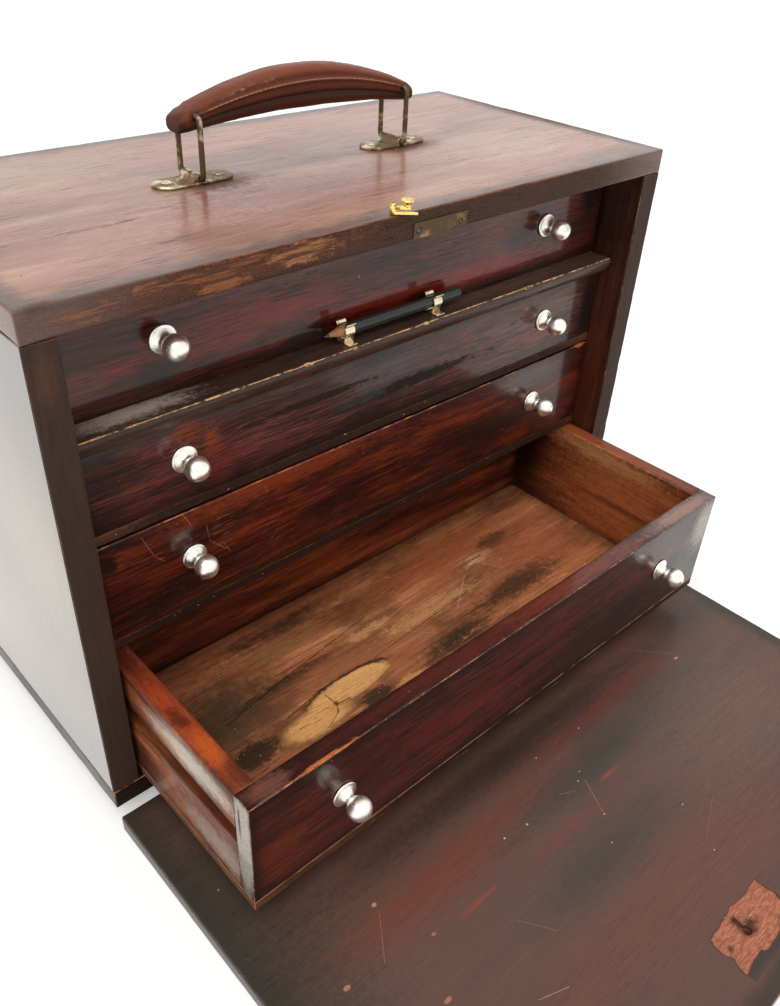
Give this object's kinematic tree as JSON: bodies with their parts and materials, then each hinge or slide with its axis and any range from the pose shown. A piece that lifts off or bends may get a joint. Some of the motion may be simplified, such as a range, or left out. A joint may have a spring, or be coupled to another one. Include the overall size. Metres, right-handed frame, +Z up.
{
  "type": "carpenters tool chest",
  "caption": "Low wooden tool chest with drawers behind a drop front, a pencil ledge on the top drawer and a folding leather carrying handle.",
  "frame": {"origin": "on the floor, under the middle of the box round the chest with its front let down and its lowest drawer out", "axes": "+X to the right of someone facing the drawers, +Y from the front to the back, +Z up"},
  "size_m": [0.45, 0.5314, 0.3828],
  "materials": {
    "top_wood": "polished reddish brown, worn at the arrises",
    "case_wood": "dark brown polish, worn at the arrises",
    "drawer_wood": "dark red brown polish",
    "inner_wood": "bare, golden brown",
    "panel_wood": "bare, smoky brown with stains",
    "pencil_paint": "dark green grey paint",
    "leather": "brown, waxed, stitched",
    "nickel": "satin nickel, dulled",
    "worn_brass": "worn, dull",
    "bright_brass": "polished",
    "aged_brass": "aged, spotted",
    "steel": "dull, aged"
  },
  "bodies": {
    "case": {"case_top": "top_wood", "case_bottom": "case_wood", "case_side_left": "case_wood", "case_side_right": "case_wood", "case_back": "panel_wood", "bearer_front": "case_wood", "bearer_rear": "case_wood", "runner_1_left": "inner_wood", "runner_1_right": "inner_wood", "runner_2_left": "inner_wood", "runner_2_right": "inner_wood", "runner_3_left": "inner_wood", "runner_3_right": "inner_wood", "runner_4_left": "inner_wood", "runner_4_right": "inner_wood", "strike_plate": "aged_brass", "handle_plate_left": "worn_brass", "handle_plate_right": "worn_brass", "hinge_case_leaf_left": "steel", "hinge_case_leaf_right": "steel", "catch_pivot": "bright_brass"},
    "flap": {"flap": "case_wood", "hinge_flap_leaf_left": "steel", "hinge_flap_leaf_right": "steel"},
    "drawer_1": {"drawer_1_front": "drawer_wood", "drawer_1_side_left": "inner_wood", "drawer_1_side_right": "inner_wood", "drawer_1_back": "inner_wood", "drawer_1_bottom": "panel_wood", "drawer_1_knob_left": "nickel", "drawer_1_knob_right": "nickel", "pencil_ledge": "drawer_wood", "pencil_clip_left": "nickel", "pencil_clip_right": "nickel"},
    "drawer_2": {"drawer_2_front": "drawer_wood", "drawer_2_side_left": "inner_wood", "drawer_2_side_right": "inner_wood", "drawer_2_back": "inner_wood", "drawer_2_bottom": "panel_wood", "drawer_2_knob_left": "nickel", "drawer_2_knob_right": "nickel"},
    "drawer_3": {"drawer_3_front": "drawer_wood", "drawer_3_side_left": "inner_wood", "drawer_3_side_right": "inner_wood", "drawer_3_back": "inner_wood", "drawer_3_bottom": "panel_wood", "drawer_3_knob_left": "nickel", "drawer_3_knob_right": "nickel"},
    "drawer_4": {"drawer_4_front": "drawer_wood", "drawer_4_side_left": "inner_wood", "drawer_4_side_right": "inner_wood", "drawer_4_back": "inner_wood", "drawer_4_bottom": "panel_wood", "drawer_4_knob_left": "nickel", "drawer_4_knob_right": "nickel"},
    "pencil": {"pencil": "pencil_paint"},
    "bail_left": {"bail_left": "worn_brass"},
    "bail_right": {"bail_right": "worn_brass"},
    "grip": {"handle_grip": "leather"},
    "catch": {"catch_lever": "bright_brass"}
  },
  "joints": [
    {"name": "flap_hinge", "type": "hinge", "parent": "case", "child": "flap", "pos_m": [0, 0.04985, 0.0128], "axis": [-1, 0, 0], "range_deg": [0, 8.5]},
    {"name": "drawer_1_slide", "type": "slide", "parent": "case", "child": "drawer_1", "axis": [0, -1, 0], "range_m": [0, 0.14]},
    {"name": "drawer_2_slide", "type": "slide", "parent": "case", "child": "drawer_2", "axis": [0, -1, 0], "range_m": [0, 0.14]},
    {"name": "drawer_3_slide", "type": "slide", "parent": "case", "child": "drawer_3", "axis": [0, -1, 0], "range_m": [0, 0.14]},
    {"name": "drawer_4_slide", "type": "slide", "parent": "case", "child": "drawer_4", "axis": [0, -1, 0], "range_m": [-0.133, 0.007]},
    {"name": "pencil_slide", "type": "slide", "parent": "drawer_1", "child": "pencil", "axis": [1, 0, 0], "range_m": [-0.06, 0.06]},
    {"name": "handle_fold", "type": "hinge", "parent": "case", "child": "bail_left", "pos_m": [-0.0734, 0.16065, 0.3313], "axis": [0, 1, 0], "range_deg": [-70, 70]},
    {"name": "handle_fold_right", "type": "hinge", "parent": "case", "child": "bail_right", "pos_m": [0.077, 0.16065, 0.3313], "axis": [0, 1, 0], "range_deg": [-70, 70]},
    {"name": "grip_turn", "type": "hinge", "parent": "bail_left", "child": "grip", "pos_m": [-0.0734, 0.16065, 0.3638], "axis": [0, 1, 0], "range_deg": [-70, 70]},
    {"name": "catch_turn", "type": "hinge", "parent": "case", "child": "catch", "pos_m": [-0.02, 0.05385, 0.3284], "axis": [0, 0, -1], "range_deg": [-44, 46]}
  ],
  "couplings": [
    {"joint": "handle_fold_right", "follows": "handle_fold", "ratio": 1},
    {"joint": "grip_turn", "follows": "handle_fold", "ratio": -1}
  ]
}
